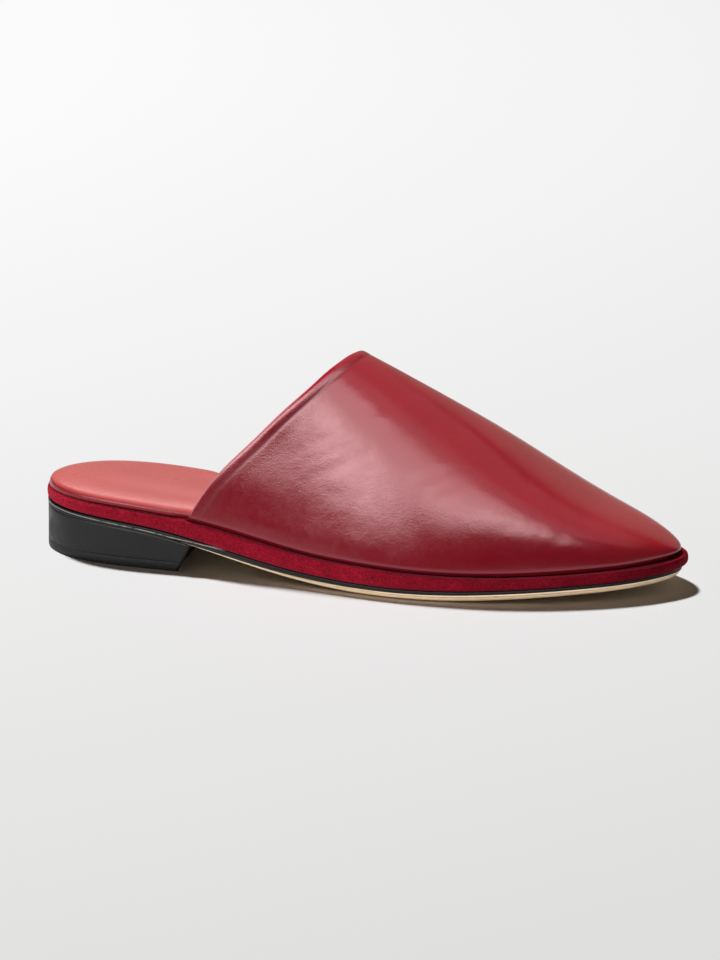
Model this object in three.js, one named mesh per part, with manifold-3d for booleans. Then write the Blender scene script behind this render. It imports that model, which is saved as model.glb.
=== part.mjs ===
// A flat mule for the right foot: a seamless leather vamp, a padded leather sock, a suede-covered
// midsole, a thin leather outsole with a bevelled edge, and a low heel with a rubber top lift.
// Millimetres, +Z up, +X towards the toe, -Y the outer side of the foot.
// A station is a distance from the back of the heel along the shoe. A phase runs from 0 at the heel
// to pi at the toe tip and crowds the stations at both ends, where the outline turns round.
import * as THREE from "three";
import Module from "manifold-3d";

// Driving sizes.
const LENGTH = 268; // suede midsole, heel to toe tip
const GAP = 0.3; // between pieces that meet
const WALL = 1.8; // vamp leather and lining
const PEAK_STATION = 133.8; // top of the topline, on the crest of the vamp
const OUTER_LOW_STATION = 68.5; // where the topline meets the sole, on the outer side
const INNER_LOW_STATION = 71; // the same on the inner side
const EDGE_WALL = 2.0; // black upright part of the outsole's edge
const BEVEL_INSET = 2.4; // how far the natural lower part of that edge runs in at full thickness
const FULL_BEVEL = 2.7; // height of that lower part at full thickness
const LIFT_HEIGHT = 3.8; // rubber top lift
const HEEL_INSET = 0.2; // heel sides inside the midsole
const BREAST_STATION = 62; // front of the heel at the floor, on the centre line
const BREAST_LEAN = 27; // degrees, forwards as it rises
const BREAST_RADIUS = 140; // hollow of the heel's front face
const HEEL_SPAN = 84; // heel blank before its front is cut

// Plan of the midsole: the middle of the section and half its width.
const PLAN = [
  { station: 0, centre: 0, half: 0 },
  { station: 8, centre: 0, half: 18.2 },
  { station: 20, centre: 0, half: 26.0 },
  { station: 40, centre: 0, half: 30.2 },
  { station: 65, centre: -0.8, half: 30.4 },
  { station: 95, centre: -3.4, half: 31.0 },
  { station: 125, centre: -5.4, half: 34.4 },
  { station: 155, centre: -4.4, half: 40.0 },
  { station: 180, centre: -2.0, half: 41.8 },
  { station: 205, centre: 0.3, half: 39.4 },
  { station: 230, centre: 2.0, half: 32.8 },
  { station: 250, centre: 3.0, half: 23.6 },
  { station: 262, centre: 3.7, half: 13.2 },
  { station: 268, centre: 4, half: 0 },
];

// Heights along the shoe: seat is the top of the outsole over the floor, and sole, rand and sock are the
// thicknesses of outsole, midsole and padded sock. Edge is how far the outsole's side lies inside the midsole's.
const PROFILE = [
  { station: 0, seat: 20.2, sole: 2.1, rand: 4.8, sock: 4.6, edge: 0.2 },
  { station: 30, seat: 18.9, sole: 2.1, rand: 4.9, sock: 4.6, edge: 0.3 },
  { station: 60, seat: 15.7, sole: 2.1, rand: 5.9, sock: 4.5, edge: 0.6 },
  { station: 90, seat: 9.9, sole: 3.1, rand: 7.4, sock: 4.2, edge: 1.0 },
  { station: 120, seat: 5.8, sole: 4.2, rand: 7.1, sock: 4.0, edge: 1.1 },
  { station: 148, seat: 4.6, sole: 4.75, rand: 6.8, sock: 4.0, edge: 1.2 },
  { station: 172, seat: 4.6, sole: 4.75, rand: 6.0, sock: 3.8, edge: 1.3 },
  { station: 200, seat: 5.6, sole: 4.7, rand: 4.9, sock: 3.4, edge: 1.5 },
  { station: 235, seat: 7.6, sole: 4.5, rand: 4.4, sock: 3.0, edge: 1.9 },
  { station: 268, seat: 9.8, sole: 4.2, rand: 4.4, sock: 2.6, edge: 2.4 },
];

// The vamp: ledge is the midsole left bare outside it, rise the crest over its lower edge,
// lean how far the crest lies towards the inner side, hollow how much the walls draw in above their foot,
// and arch the turn of the section: 1 is an ellipse, less is squarer, as over the toes.
const VAMP = [
  { station: 50, ledge: 1.4, rise: 107, lean: 2.0, hollow: 0.3, arch: 1 },
  { station: 100, ledge: 1.4, rise: 89.6, lean: 2.5, hollow: 0.3, arch: 1 },
  { station: 134, ledge: 1.4, rise: 77.0, lean: 3.0, hollow: 0.3, arch: 1 },
  { station: 160, ledge: 1.5, rise: 64.8, lean: 3.0, hollow: 0.22, arch: 0.98 },
  { station: 190, ledge: 1.6, rise: 48.3, lean: 2.5, hollow: 0.06, arch: 0.9 },
  { station: 217, ledge: 1.8, rise: 30.6, lean: 1.5, hollow: -0.02, arch: 0.78 },
  { station: 235, ledge: 1.9, rise: 20.0, lean: 0.8, hollow: -0.02, arch: 0.72 },
  { station: 250, ledge: 2.1, rise: 12.9, lean: 0.3, hollow: 0, arch: 0.72 },
  { station: 259, ledge: 2.2, rise: 8.3, lean: 0, hollow: 0, arch: 0.74 },
  { station: 268, ledge: 2.3, rise: 0, lean: 0, hollow: 0, arch: 0.76 },
];

// The topline: share of its run from its foot to its peak on each side, by share of the section's height.
const TOPLINE = [
  { up: 0, outer: 0, inner: 0 },
  { up: 0.2, outer: 0.171, inner: 0.176 },
  { up: 0.42, outer: 0.408, inner: 0.432 },
  { up: 0.6, outer: 0.586, inner: 0.633 },
  { up: 0.8, outer: 0.781, inner: 0.845 },
  { up: 0.92, outer: 0.897, inner: 0.943 },
  { up: 1, outer: 1, inner: 1 },
];

// How far the padded sock lies inside the midsole's outline: out to the edge behind the topline,
// inside the vamp's wall in front of it.
const SOCK = [
  { station: 0, inset: 0.9 },
  { station: 40, inset: 1.3 },
  { station: 57, inset: 1.5 },
  { station: 63, inset: 2.2 },
  { station: 68.5, inset: 4.0 },
  { station: 75, inset: 4.15 },
  { station: 95, inset: 4.1 },
  { station: 150, inset: 4.1 },
  { station: 215, inset: 5.0 },
  { station: 250, inset: 7.5 },
  { station: 268, inset: 10 },
];

// Edge sections, from the bottom up: run in from the piece's outline, and share of its height.
const RAND_EDGE = [
  { inset: 1.5, share: 0 },
  { inset: 0.5, share: 0.12 },
  { inset: 0, share: 0.38 },
  { inset: 0, share: 0.7 },
  { inset: 0.4, share: 0.92 },
  { inset: 1.2, share: 1 },
];
const SOCK_EDGE = [
  { inset: 0.3, share: 0 },
  { inset: 0, share: 0.2 },
  { inset: 0.5, share: 0.36 },
  { inset: 0.1, share: 0.6 },
  { inset: 0.5, share: 0.84 },
  { inset: 1.5, share: 0.96 },
  { inset: 3.4, share: 1 },
];
// The outsole's lower edge, from the bottom up: shares of the bevel's inset and height.
const BEVEL_EDGE = [
  { inset: 1, share: 1 },
  { inset: 0.5, share: 0.6 },
  { inset: 0.3, share: 0.25 },
  { inset: 0.25, share: 0.02 },
];
// Rolled topline: distance from the edge across the roll, and how far it stands proud.
const TOPLINE_ROLL = [
  { across: 0, proud: -0.3 },
  { across: 0.5, proud: 0.35 },
  { across: 1.7, proud: 0.7 },
  { across: 2.9, proud: 0.4 },
  { across: 3.6, proud: -0.15 },
  { across: 4.8, proud: 0 },
];

const OUTLINE_STEPS = 40;
const VAMP_STEPS = 20;
const VAMP_ANGLES = 28;
const FOOT_CROWDING = 0.6; // how much closer the vamp's lines lie at its lower edge
const SMALL = 1e-3; // phase step for tangents

const phaseAt = (station) => Math.acos(1 - (2 * station) / LENGTH);
const stationAt = (phase) => (LENGTH * (1 - Math.cos(phase))) / 2;

// A natural cubic spline through given heights y over places x.
function spline(x, y) {
  const bend = x.map(() => 0);
  const carry = x.map(() => 0);
  for (let i = 1; i < x.length - 1; i++) {
    const share = (x[i] - x[i - 1]) / (x[i + 1] - x[i - 1]);
    const pivot = share * bend[i - 1] + 2;
    const turn = (y[i + 1] - y[i]) / (x[i + 1] - x[i]) - (y[i] - y[i - 1]) / (x[i] - x[i - 1]);
    bend[i] = (share - 1) / pivot;
    carry[i] = ((6 * turn) / (x[i + 1] - x[i - 1]) - share * carry[i - 1]) / pivot;
  }
  for (let i = x.length - 2; i > 0; i--) bend[i] = bend[i] * bend[i + 1] + carry[i];
  bend[0] = 0;
  return (place) => {
    let k = 0;
    while (k < x.length - 2 && place > x[k + 1]) k++;
    const width = x[k + 1] - x[k];
    const a = (x[k + 1] - place) / width;
    const b = 1 - a;
    const curl = (a ** 3 - a) * bend[k] + (b ** 3 - b) * bend[k + 1];
    return a * y[k] + b * y[k + 1] + (curl * width * width) / 6;
  };
}

// One column of a table as a smooth curve, read by phase.
const column = (table, name) =>
  spline(
    table.map((row) => phaseAt(row.station)),
    table.map((row) => row[name]),
  );

const centre = column(PLAN, "centre");
const half = column(PLAN, "half");
const seat = column(PROFILE, "seat");
const sole = column(PROFILE, "sole");
const rand = column(PROFILE, "rand");
const sock = column(PROFILE, "sock");
const ledge = column(VAMP, "ledge");
const rise = column(VAMP, "rise");
const lean = column(VAMP, "lean");
const hollow = column(VAMP, "hollow");
const arch = column(VAMP, "arch");
const sockInset = column(SOCK, "inset");
const edge = column(PROFILE, "edge");
const toplineRun = (side) =>
  spline(
    TOPLINE.map((row) => row.up),
    TOPLINE.map((row) => row[side]),
  );
const outerRun = toplineRun("outer");
const innerRun = toplineRun("inner");

const randTop = (phase) => seat(phase) + GAP + rand(phase);
const treadHeight = (phase) => Math.max(0, seat(phase) - sole(phase));

const OUTER = -1;
const INNER = 1;

// A point of the midsole's outline, run in by inset along the outline's own normal.
function plan(phase, side, inset) {
  const at = (p) => new THREE.Vector2(stationAt(p), centre(p) + side * half(p));
  const along = at(Math.min(Math.PI, phase + SMALL)).sub(at(Math.max(0, phase - SMALL)));
  if (phase < SMALL || phase > Math.PI - SMALL) along.x = 0;
  const inwards = new THREE.Vector2(along.y, -along.x).multiplyScalar(side).normalize();
  return at(phase).addScaledVector(inwards, inset);
}

// Collects triangles, merges equal points and drops empty triangles.
class Facets {
  points = [];
  faces = [];
  known = new Map();
  index(p) {
    const key = [p.x, p.y, p.z].map((v) => Math.round(v * 1000)).join();
    if (!this.known.has(key)) {
      this.known.set(key, this.points.length / 3);
      this.points.push(p.x, p.y, p.z);
    }
    return this.known.get(key);
  }
  triangle(a, b, c) {
    const [i, j, k] = [a, b, c].map((p) => this.index(p));
    if (i !== j && j !== k && k !== i) this.faces.push(i, j, k);
  }
  quad(a, b, c, d) {
    this.triangle(a, b, c);
    this.triangle(a, c, d);
  }
  geometry() {
    const made = new THREE.BufferGeometry();
    made.setAttribute("position", new THREE.Float32BufferAttribute(this.points, 3));
    made.setIndex(this.faces);
    return made;
  }
}

// A closed slab with the shoe's outline. Each row gives inset and height for a phase, from the bottom up.
function slab(rows, lastPhase = Math.PI) {
  const phases = Array.from({ length: OUTLINE_STEPS + 1 }, (_, i) => (lastPhase * i) / OUTLINE_STEPS);
  const point = (row, phase, side) => {
    const { inset, height } = row(phase);
    const p = plan(phase, side, inset);
    return new THREE.Vector3(p.x, p.y, height);
  };
  const rims = rows.map((row) => ({
    outer: phases.map((phase) => point(row, phase, OUTER)),
    inner: phases.map((phase) => point(row, phase, INNER)),
  }));
  const facets = new Facets();
  const bottom = rims[0];
  const top = rims[rims.length - 1];
  for (let i = 0; i < OUTLINE_STEPS; i++) {
    facets.quad(top.outer[i], top.outer[i + 1], top.inner[i + 1], top.inner[i]);
    facets.quad(bottom.inner[i], bottom.inner[i + 1], bottom.outer[i + 1], bottom.outer[i]);
    for (let r = 0; r < rims.length - 1; r++) {
      const [low, high] = [rims[r], rims[r + 1]];
      facets.quad(low.outer[i], low.outer[i + 1], high.outer[i + 1], high.outer[i]);
      facets.quad(low.inner[i + 1], low.inner[i], high.inner[i], high.inner[i + 1]);
    }
  }
  for (let r = 0; r < rims.length - 1; r++) {
    const [low, high] = [rims[r], rims[r + 1]];
    const end = OUTLINE_STEPS;
    facets.quad(low.outer[end], low.inner[end], high.inner[end], high.outer[end]);
  }
  return facets.geometry();
}

// The leather outsole: a black upright edge, and below it a natural bevel that fades out at the heel.
function outsoleGeometry() {
  const bevelHeight = (phase) => Math.max(0.05, seat(phase) - treadHeight(phase) - EDGE_WALL);
  const bevelRows = BEVEL_EDGE.map(({ inset, share }) => (phase) => ({
    inset: edge(phase) + (inset * BEVEL_INSET * bevelHeight(phase)) / FULL_BEVEL,
    height: seat(phase) - EDGE_WALL - share * bevelHeight(phase),
  }));
  const edgeRows = [EDGE_WALL - 0.02, 0.3, 0].map((drop) => (phase) => ({
    inset: edge(phase) + (drop === 0 ? 0.3 : 0),
    height: seat(phase) - drop,
  }));
  return slab([...bevelRows, ...edgeRows]);
}

// The midsole, wrapped in suede: its rounded edge is the band that shows all round the shoe.
function midsoleGeometry() {
  const rows = RAND_EDGE.map(({ inset, share }) => (phase) => ({
    inset,
    height: seat(phase) + GAP + share * rand(phase),
  }));
  return slab(rows);
}

// The padded sock: a soft roll above a low lip, bare at the heel and inside the vamp in front.
function sockGeometry() {
  const rows = SOCK_EDGE.map(({ inset, share }) => (phase) => ({
    inset: sockInset(phase) + inset,
    height: randTop(phase) + GAP + share * sock(phase),
  }));
  return slab(rows);
}

const wasm = await Module();
wasm.setup();

function solidOf(geometry) {
  const mesh = new wasm.Mesh({
    numProp: 3,
    vertProperties: new Float32Array(geometry.attributes.position.array),
    triVerts: new Uint32Array(geometry.index.array),
  });
  return new wasm.Manifold(mesh);
}

function geometryOf(solid) {
  const { vertProperties, triVerts } = solid.getMesh();
  const made = new THREE.BufferGeometry();
  made.setAttribute("position", new THREE.BufferAttribute(vertProperties, 3));
  made.setIndex(new THREE.BufferAttribute(triVerts, 1));
  return made;
}

// Cuts the hollow, leaning front face of the heel: a leaning round bar in front of the heel is taken away.
function cutBreast(blank) {
  const facets = new Facets();
  const sides = 96;
  const reach = 60;
  const lean = Math.tan(THREE.MathUtils.degToRad(BREAST_LEAN));
  const ring = (height) =>
    Array.from({ length: sides }, (_, i) => {
      const turn = (2 * Math.PI * i) / sides;
      const x = BREAST_STATION + BREAST_RADIUS + height * lean + BREAST_RADIUS * Math.cos(turn);
      return new THREE.Vector3(x, BREAST_RADIUS * Math.sin(turn), height);
    });
  const low = ring(-reach);
  const high = ring(reach);
  for (let i = 0; i < sides; i++) {
    const next = (i + 1) % sides;
    facets.quad(low[i], low[next], high[next], high[i]);
    if (i > 0 && next > 0) {
      facets.triangle(high[0], high[i], high[next]);
      facets.triangle(low[0], low[next], low[i]);
    }
  }
  return geometryOf(solidOf(blank).subtract(solidOf(facets.geometry())));
}

// The heel: sides drawn in a little below the sole and flared again at the floor.
function heelBlockGeometry() {
  const top = (phase) => seat(phase) - Math.max(sole(phase), EDGE_WALL + 0.05) - GAP;
  const floor = LIFT_HEIGHT + GAP;
  const rows = [
    { inset: -0.3, share: 0 },
    { inset: 0.1, share: 0.25 },
    { inset: 0.2, share: 0.6 },
    { inset: 0.1, share: 1 },
  ].map(({ inset, share }) => (phase) => ({
    inset: HEEL_INSET + inset,
    height: floor + share * (top(phase) - floor),
  }));
  return cutBreast(slab(rows, phaseAt(HEEL_SPAN)));
}

// The rubber top lift that the heel stands on.
function topLiftGeometry() {
  const rows = [
    { inset: -0.3, height: 0 },
    { inset: -0.7, height: 0.5 },
    { inset: -0.4, height: LIFT_HEIGHT },
  ].map(({ inset, height }) => () => ({ inset: HEEL_INSET + inset, height }));
  return cutBreast(slab(rows, phaseAt(HEEL_SPAN)));
}

// A point of the vamp. The angle runs from 0 at the outer lower edge over the crest to pi at the inner one,
// and depth is measured inwards from the outside of the wall.
function vampPoint(phase, angle, depth) {
  const outer = plan(phase, OUTER, ledge(phase) + depth);
  const inner = plan(phase, INNER, ledge(phase) + depth);
  const crest = outer.clone().lerp(inner, 0.5);
  const width = inner.y - outer.y;
  crest.y += Math.min(lean(phase), width / 6);
  const foot = Math.cos(angle) > 0 ? outer : inner;
  const swing = Math.abs(Math.cos(angle));
  const lift = Math.abs(Math.sin(angle));
  const flat = crest.clone().lerp(foot, swing ** arch(phase) * (1 - hollow(phase) * lift * swing));
  const full = Math.max(rise(phase), Number.EPSILON);
  const height = full ** 2 / (full + depth);
  return new THREE.Vector3(flat.x, flat.y, randTop(phase) + GAP + height * lift ** arch(phase));
}

// The phase where the topline crosses a line of constant angle.
function toplinePhase(angle) {
  const [low, run] = Math.cos(angle) > 0 ? [OUTER_LOW_STATION, outerRun] : [INNER_LOW_STATION, innerRun];
  return phaseAt(low + (PEAK_STATION - low) * run(Math.abs(Math.sin(angle))));
}

// Phases along one line of constant angle: across the rolled topline, then on to the toe tip.
function vampPhases(angle) {
  const start = toplinePhase(angle);
  const here = vampPoint(start, angle, 0);
  const along = vampPoint(start + SMALL, angle, 0).sub(here);
  const turn = angle < Math.PI / 2 ? SMALL : -SMALL;
  const edge = vampPoint(toplinePhase(angle + turn), angle + turn, 0).sub(here);
  const across = along.length() * Math.sin(along.angleTo(edge));
  const roll = TOPLINE_ROLL.map((row) => start + (row.across * SMALL) / across);
  const last = roll[roll.length - 1];
  const rest = Array.from({ length: VAMP_STEPS }, (_, i) => last + ((Math.PI - last) * (i + 1)) / VAMP_STEPS);
  return [...roll, ...rest];
}

// The outside of the vamp at one row, with the topline's roll standing proud of it.
function vampOutside(phase, angle, row) {
  const p = vampPoint(phase, angle, 0);
  if (row >= TOPLINE_ROLL.length) return p;
  const inwards = vampPoint(phase, angle, WALL).sub(p).normalize();
  const { proud } = TOPLINE_ROLL[row];
  inwards.z = Math.abs(Math.sin(angle)) < SMALL ? 0 : inwards.z;
  return p.addScaledVector(inwards, -proud);
}

// The upper: one wall, open at the topline and underneath.
function upperGeometry() {
  const angles = Array.from({ length: VAMP_ANGLES + 1 }, (_, i) => {
    const even = (Math.PI * i) / VAMP_ANGLES;
    return even - (FOOT_CROWDING * Math.sin(2 * even)) / 2;
  });
  const outside = angles.map((angle) => vampPhases(angle).map((phase, row) => vampOutside(phase, angle, row)));
  const inside = angles.map((angle) => vampPhases(angle).map((phase) => vampPoint(phase, angle, WALL)));
  const facets = new Facets();
  const rows = outside[0].length;
  for (let j = 0; j < VAMP_ANGLES; j++) {
    for (let i = 0; i < rows - 1; i++) {
      facets.quad(outside[j][i], outside[j][i + 1], outside[j + 1][i + 1], outside[j + 1][i]);
      facets.quad(inside[j][i], inside[j + 1][i], inside[j + 1][i + 1], inside[j][i + 1]);
    }
    facets.quad(outside[j][0], outside[j + 1][0], inside[j + 1][0], inside[j][0]);
  }
  const last = VAMP_ANGLES;
  for (let i = 0; i < rows - 1; i++) {
    facets.quad(outside[0][i + 1], outside[0][i], inside[0][i], inside[0][i + 1]);
    facets.quad(outside[last][i], outside[last][i + 1], inside[last][i + 1], inside[last][i]);
  }
  return facets.geometry();
}

const RED_LEATHER = { color: 0x8e2130, roughness: 0.38 };
const SOCK_LEATHER = { color: 0xb24147, roughness: 0.5 };
const RED_SUEDE = { color: 0x85101f, roughness: 0.95 };
const SOLE_LEATHER = { color: 0xc9a77f, roughness: 0.6 };
const BLACK_HEEL = { color: 0x222222, roughness: 0.45 };
const BLACK_RUBBER = { color: 0x181818, roughness: 0.8 };

const pieces = [
  ["outsole", outsoleGeometry(), SOLE_LEATHER],
  ["heel_block", heelBlockGeometry(), BLACK_HEEL],
  ["heel_top_lift", topLiftGeometry(), BLACK_RUBBER],
  ["midsole", midsoleGeometry(), RED_SUEDE],
  ["insole", sockGeometry(), SOCK_LEATHER],
  ["upper", upperGeometry(), RED_LEATHER],
];

const mule = new THREE.Group();
for (const [name, geometry, finish] of pieces) {
  geometry.computeVertexNormals();
  const mesh = new THREE.Mesh(geometry, new THREE.MeshStandardMaterial({ metalness: 0, ...finish }));
  mesh.name = name;
  mule.add(mesh);
}

// The origin is on the floor, under the middle of the shoe's box.
const middle = new THREE.Box3().setFromObject(mule).getCenter(new THREE.Vector3());
for (const mesh of mule.children) mesh.position.set(-middle.x, -middle.y, 0);

export default mule;
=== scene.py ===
import math

import bpy
import numpy as np
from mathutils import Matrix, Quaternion, Vector
from mathutils.noise import noise as perlin


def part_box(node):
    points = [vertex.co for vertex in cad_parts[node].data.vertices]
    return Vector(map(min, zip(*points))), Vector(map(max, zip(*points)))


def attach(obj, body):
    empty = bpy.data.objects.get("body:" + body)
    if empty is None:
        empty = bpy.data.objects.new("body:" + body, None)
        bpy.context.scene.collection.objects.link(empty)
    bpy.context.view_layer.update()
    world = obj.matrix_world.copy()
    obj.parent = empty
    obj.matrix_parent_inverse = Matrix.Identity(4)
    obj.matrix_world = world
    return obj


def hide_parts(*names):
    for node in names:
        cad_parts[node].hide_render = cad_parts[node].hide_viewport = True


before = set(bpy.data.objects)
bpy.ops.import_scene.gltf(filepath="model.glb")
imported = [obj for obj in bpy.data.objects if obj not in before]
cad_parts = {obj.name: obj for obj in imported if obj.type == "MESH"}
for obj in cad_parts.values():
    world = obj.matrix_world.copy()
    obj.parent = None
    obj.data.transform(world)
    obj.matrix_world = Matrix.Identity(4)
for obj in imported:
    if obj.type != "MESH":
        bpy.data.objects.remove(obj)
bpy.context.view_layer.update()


# Midsole: a thin slab wrapped in crimson suede, cemented between outsole and vamp.
# Its rounded side is the matt band that runs all round the shoe.
# The shoe's plan and heights, which every other piece is fitted to, start here.
MM = 0.001
LENGTH = 268.0
GAP = 0.3
PLAN = [
    ("station", "centre", "half"),
    (0, 0.0, 0.0),
    (8, 0.0, 18.2),
    (20, 0.0, 26.0),
    (40, 0.0, 30.2),
    (65, -0.8, 30.4),
    (95, -3.4, 31.0),
    (125, -5.4, 34.4),
    (155, -4.4, 40.0),
    (180, -2.0, 41.8),
    (205, 0.3, 39.4),
    (230, 2.0, 32.8),
    (250, 3.0, 23.6),
    (262, 3.7, 13.2),
    (268, 4.0, 0.0),
]
PROFILE = [
    ("station", "seat", "sole", "rand", "sock", "edge"),
    (0, 20.2, 2.1, 4.8, 4.6, 0.2),
    (30, 18.9, 2.1, 4.9, 4.6, 0.3),
    (60, 15.7, 2.1, 5.9, 4.5, 0.6),
    (90, 9.9, 3.1, 7.4, 4.2, 1.0),
    (120, 5.8, 4.2, 7.1, 4.0, 1.1),
    (148, 4.6, 4.75, 6.8, 4.0, 1.2),
    (172, 4.6, 4.75, 6.0, 3.8, 1.3),
    (200, 5.6, 4.7, 4.9, 3.4, 1.5),
    (235, 7.6, 4.5, 4.4, 3.0, 1.9),
    (268, 9.8, 4.2, 4.4, 2.6, 2.4),
]
OUTER, INNER = -1, 1


def phase_at(station):
    """Runs from 0 at the heel to pi at the toe tip, crowding both ends."""
    return np.arccos(1 - 2 * np.asarray(station, float) / LENGTH)


def spline(x, y):
    """A natural cubic spline through the points, as a function."""
    x, y = np.array(x, float), np.array(y, float)
    gaps = np.diff(x)
    system = np.eye(len(x))
    turns = np.zeros(len(x))
    for i in range(1, len(x) - 1):
        system[i, i - 1 : i + 2] = gaps[i - 1], 2 * (gaps[i - 1] + gaps[i]), gaps[i]
        turns[i] = 6 * ((y[i + 1] - y[i]) / gaps[i] - (y[i] - y[i - 1]) / gaps[i - 1])
    bend = np.linalg.solve(system, turns)

    def read(at):
        at = np.asarray(at, float)
        k = np.clip(np.searchsorted(x, at) - 1, 0, len(x) - 2)
        a = (x[k + 1] - at) / gaps[k]
        b = 1 - a
        curl = (a**3 - a) * bend[k] + (b**3 - b) * bend[k + 1]
        return a * y[k] + b * y[k + 1] + curl * gaps[k] ** 2 / 6

    return read


def column(table, name):
    """One column of a table as a smooth curve, read by phase."""
    at = table[0].index(name)
    rows = table[1:]
    return spline([phase_at(row[0]) for row in rows], [row[at] for row in rows])


centre, half = column(PLAN, "centre"), column(PLAN, "half")
seat, sole, rand, sock, edge = (column(PROFILE, name) for name in PROFILE[0][1:])


def rand_top(phase):
    return seat(phase) + GAP + rand(phase)


def plan(phase, side, inset):
    """A point of the midsole's outline, run in along the outline's own normal."""
    step = 1e-3
    phase = np.asarray(phase, float)

    def at(p):
        return LENGTH * (1 - np.cos(p)) / 2, centre(p) + side * half(p)

    (x0, y0), (x1, y1) = at(np.maximum(phase - step, 0)), at(np.minimum(phase + step, math.pi))
    ends = (phase < step) | (phase > math.pi - step)
    tx, ty = np.where(ends, 0.0, x1 - x0), y1 - y0
    size = np.hypot(tx, ty)
    x, y = at(phase)
    return x + side * inset * ty / size, y - side * inset * tx / size


half_round = np.linspace(0, math.pi, 2000)
heel_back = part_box("midsole")[0]
ORIGIN = np.array([
    heel_back.x / MM,
    heel_back.y / MM - float(np.min(centre(half_round) - half(half_round))),
    0.0,
])


def build(name, points, faces, *materials):
    """A smooth mesh object from points in the shoe's own millimetres."""
    mesh = bpy.data.meshes.new(name)
    mesh.from_pydata(((np.asarray(points) + ORIGIN) * MM).tolist(), [], faces)
    mesh.polygons.foreach_set("use_smooth", [True] * len(mesh.polygons))
    for material in materials:
        mesh.materials.append(material)
    mesh.update()
    made = bpy.data.objects.new(name, mesh)
    bpy.context.scene.collection.objects.link(made)
    return made


def slab(rows, steps=150, across=1, crown=None):
    """A closed slab with the shoe's outline. Each row is inset and height by phase, from the bottom up."""
    phases = math.pi * np.arange(steps + 1) / steps
    loop = 2 * steps
    points, faces = [], []
    for inset, height in rows:
        inset, height = (
            np.broadcast_to(f(phases) if callable(f) else f, phases.shape) for f in (inset, height))
        outer = np.column_stack([*plan(phases, OUTER, inset), height])
        inner = np.column_stack([*plan(phases, INNER, inset), height])
        points += [*outer, *inner[-2:0:-1]]
    for r in range(len(rows) - 1):
        for i in range(loop):
            j = (i + 1) % loop
            faces.append((r * loop + i, r * loop + j, (r + 1) * loop + j, (r + 1) * loop + i))
    for first, turn in ((0, -1), ((len(rows) - 1) * loop, 1)):
        ribs = []
        for i in range(steps + 1):
            a, b = first + i, first + (loop - i) % loop
            rib = [a]
            if 0 < i < steps:
                for k in range(1, across):
                    point = points[a] + (points[b] - points[a]) * k / across
                    if crown and turn > 0:
                        point = point + np.array([0, 0, crown(phases[i], k / across)])
                    rib.append(len(points))
                    points.append(point)
                rib.append(b)
            ribs.append(rib)
        for low, high in zip(ribs, ribs[1:]):
            for k in range(across):
                corners = [low[min(k, len(low) - 1)], high[min(k, len(high) - 1)],
                           high[min(k + 1, len(high) - 1)], low[min(k + 1, len(low) - 1)]]
                corners = list(dict.fromkeys(corners))
                faces.append(tuple(corners[::turn]))
    return np.array(points), faces


def through(rows, count):
    """Points along a smooth curve through the rows, spaced by the curve's own length."""
    rows = np.array(rows, float)
    run = np.concatenate([[0], np.cumsum(np.hypot(*np.diff(rows, axis=0).T))])
    places = np.linspace(0, run[-1], count)
    return np.column_stack([spline(run, rows[:, k])(places) for k in range(rows.shape[1])])


def add(tree, kind, **settings):
    """A shader node with its properties set."""
    node = tree.nodes.new(kind)
    for name, value in settings.items():
        setattr(node, name, value)
    return node


def noise(tree, coords, scale, detail=3.0, rough=0.55):
    """A noise texture over the given coordinates."""
    node = add(tree, "ShaderNodeTexNoise")
    node.inputs["Scale"].default_value = scale
    node.inputs["Detail"].default_value = detail
    node.inputs["Roughness"].default_value = rough
    tree.links.new(coords, node.inputs["Vector"])
    return node.outputs["Fac"]


def ramp(tree, value, *stops):
    """A colour ramp over a value: each stop is a place and a colour."""
    node = add(tree, "ShaderNodeValToRGB")
    node.color_ramp.interpolation = "EASE"
    for i, (place, colour) in enumerate(stops):
        stop = node.color_ramp.elements[i] if i < 2 else node.color_ramp.elements.new(place)
        stop.position = place
        stop.color = (*colour, 1.0)
    tree.links.new(value, node.inputs["Fac"])
    return node.outputs["Color"]


def math_node(tree, operation, a, b):
    """One sum on two values, each a socket or a number."""
    node = add(tree, "ShaderNodeMath", operation=operation)
    for socket, value in zip(node.inputs, (a, b)):
        if isinstance(value, (int, float)):
            socket.default_value = value
        else:
            tree.links.new(value, socket)
    return node.outputs["Value"]


def mixture(tree, *parts):
    """A weighted sum; each part is a value and its weight."""
    first, *others = (math_node(tree, "MULTIPLY", value, weight) for value, weight in parts)
    for other in others:
        first = math_node(tree, "ADD", first, other)
    return first


def surface(name, **constants):
    """A material with its shader, the numbers that are the same all over set on the shader itself."""
    material = bpy.data.materials.new(name)
    material.use_nodes = True
    shader = material.node_tree.nodes["Principled BSDF"]
    for socket, value in constants.items():
        shader.inputs[socket.replace("_", " ")].default_value = value
    coords = add(material.node_tree, "ShaderNodeTexCoord").outputs["Object"]
    return material, material.node_tree, shader, coords


def relief(tree, shader, height, distance):
    """A bump from a height, its distance in metres."""
    bump = add(tree, "ShaderNodeBump")
    bump.inputs["Distance"].default_value = distance
    tree.links.new(height, bump.inputs["Height"])
    tree.links.new(bump.outputs["Normal"], shader.inputs["Normal"])


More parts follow.
